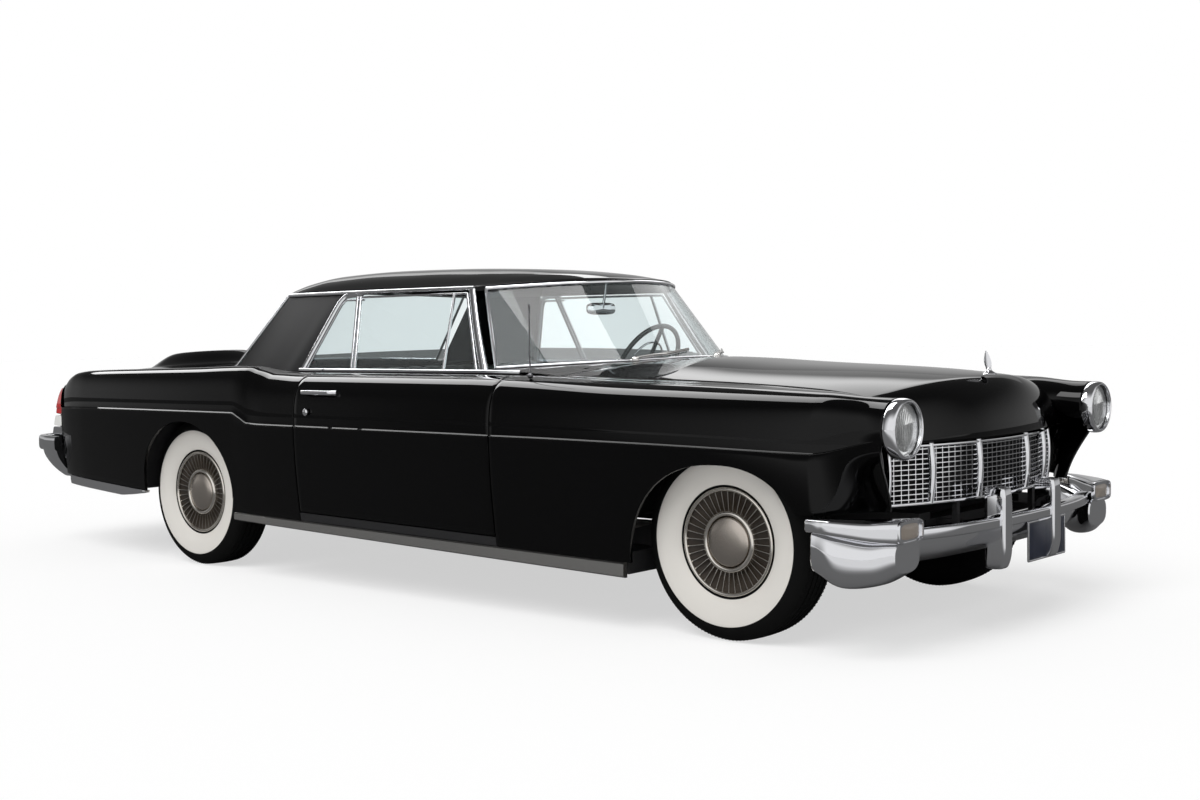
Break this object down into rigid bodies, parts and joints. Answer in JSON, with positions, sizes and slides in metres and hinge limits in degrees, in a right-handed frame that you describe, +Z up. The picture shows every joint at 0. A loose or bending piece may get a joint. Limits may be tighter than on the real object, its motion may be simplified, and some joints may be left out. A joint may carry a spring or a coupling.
{
  "type": "coupe car",
  "caption": "Long two-door luxury coupe of the 1950s with opening doors, hood and boot lid, steering and turning wheels.",
  "frame": {"origin": "on the ground under the middle of the car's overall length and width", "axes": "+X forward, +Y to the car's left, +Z up"},
  "size_m": [5.546, 1.968, 1.43],
  "materials": {
    "body_paint": "gloss",
    "pillar_paint": "satin",
    "frame_paint": "satin",
    "window_glass": "clear",
    "bright_chrome": "polished",
    "tail_lens": "gloss",
    "sill_steel": "brushed",
    "dash_paint": "satin",
    "seat_leather": "satin",
    "engine_iron": "matte",
    "exhaust_steel": "matte",
    "wheel_rim_plastic": "gloss",
    "wheel_cover": "brushed",
    "tyre_rubber": "matte"
  },
  "bodies": {
    "body": {"chassis_frame": "frame_paint", "floor_pan": "frame_paint", "door_frames": "frame_paint", "cowl": "body_paint", "front_fender_right": "body_paint", "front_fender_left": "body_paint", "rear_quarter_right": "body_paint", "rear_quarter_left": "body_paint", "tail_panel": "body_paint", "rear_deck": "body_paint", "roof": "body_paint", "sail_panels": "pillar_paint", "windscreen": "window_glass", "rear_window": "window_glass", "quarter_windows": "window_glass", "window_trim": "bright_chrome", "grille": "bright_chrome", "front_bumper": "bright_chrome", "rear_bumper": "bright_chrome", "headlamps": "bright_chrome", "tail_lamps": "tail_lens", "sill_mouldings": "sill_steel", "dashboard": "dash_paint", "front_seat": "seat_leather", "rear_seat": "seat_leather", "engine": "engine_iron", "front_suspension": "frame_paint", "rear_axle_beam": "frame_paint", "exhaust": "exhaust_steel", "antenna": "bright_chrome"},
    "hood": {"hood": "body_paint"},
    "boot_lid": {"boot_lid": "body_paint"},
    "door_right": {"door_right": "body_paint", "door_glass_right": "window_glass"},
    "door_left": {"door_left": "body_paint", "door_glass_left": "window_glass"},
    "steering_wheel": {"steering_wheel": "wheel_rim_plastic"},
    "knuckle_right": {"knuckle_right": "frame_paint"},
    "knuckle_left": {"knuckle_left": "frame_paint"},
    "wheel_front_right": {"wheel_front_right": "wheel_cover", "tyre_front_right": "tyre_rubber"},
    "wheel_front_left": {"wheel_front_left": "wheel_cover", "tyre_front_left": "tyre_rubber"},
    "wheel_rear_right": {"wheel_rear_right": "wheel_cover", "tyre_rear_right": "tyre_rubber"},
    "wheel_rear_left": {"wheel_rear_left": "wheel_cover", "tyre_rear_left": "tyre_rubber"}
  },
  "joints": [
    {"name": "hood_hinge", "type": "hinge", "parent": "body", "child": "hood", "pos_m": [1.0055, 0, 0.93], "axis": [0, -1, 0], "range_deg": [0, 50]},
    {"name": "boot_hinge", "type": "hinge", "parent": "body", "child": "boot_lid", "pos_m": [-1.2895, 0, 0.925], "axis": [0, 1, 0], "range_deg": [0, 50]},
    {"name": "door_right_hinge", "type": "hinge", "parent": "body", "child": "door_right", "pos_m": [0.9305, -0.981, 0.65], "axis": [0, 0, 1], "range_deg": [0, 65]},
    {"name": "door_left_hinge", "type": "hinge", "parent": "body", "child": "door_left", "pos_m": [0.9305, 0.981, 0.65], "axis": [0, 0, -1], "range_deg": [0, 65]},
    {"name": "steer_right", "type": "hinge", "parent": "body", "child": "knuckle_right", "pos_m": [1.9805, -0.643, 0.36], "axis": [0, 0, 1], "range_deg": [-30, 30]},
    {"name": "steer_left", "type": "hinge", "parent": "body", "child": "knuckle_left", "pos_m": [1.9805, 0.643, 0.36], "axis": [0, 0, 1], "range_deg": [-30, 30]},
    {"name": "steering_turn", "type": "hinge", "parent": "body", "child": "steering_wheel", "pos_m": [0.6425, 0.38, 0.96], "axis": [-0.8829, 0, 0.4695], "range_deg": [-480, 480]},
    {"name": "wheel_front_right_spin", "type": "hinge", "parent": "knuckle_right", "child": "wheel_front_right", "pos_m": [1.9805, -0.743, 0.36], "axis": [0, 1, 0], "continuous": true},
    {"name": "wheel_front_left_spin", "type": "hinge", "parent": "knuckle_left", "child": "wheel_front_left", "pos_m": [1.9805, 0.743, 0.36], "axis": [0, 1, 0], "continuous": true},
    {"name": "wheel_rear_right_spin", "type": "hinge", "parent": "body", "child": "wheel_rear_right", "pos_m": [-1.2195, -0.762, 0.36], "axis": [0, 1, 0], "continuous": true},
    {"name": "wheel_rear_left_spin", "type": "hinge", "parent": "body", "child": "wheel_rear_left", "pos_m": [-1.2195, 0.762, 0.36], "axis": [0, 1, 0], "continuous": true}
  ],
  "couplings": [
    {"joint": "steer_left", "follows": "steer_right", "ratio": 1},
    {"joint": "steering_turn", "follows": "steer_right", "ratio": 16}
  ]
}
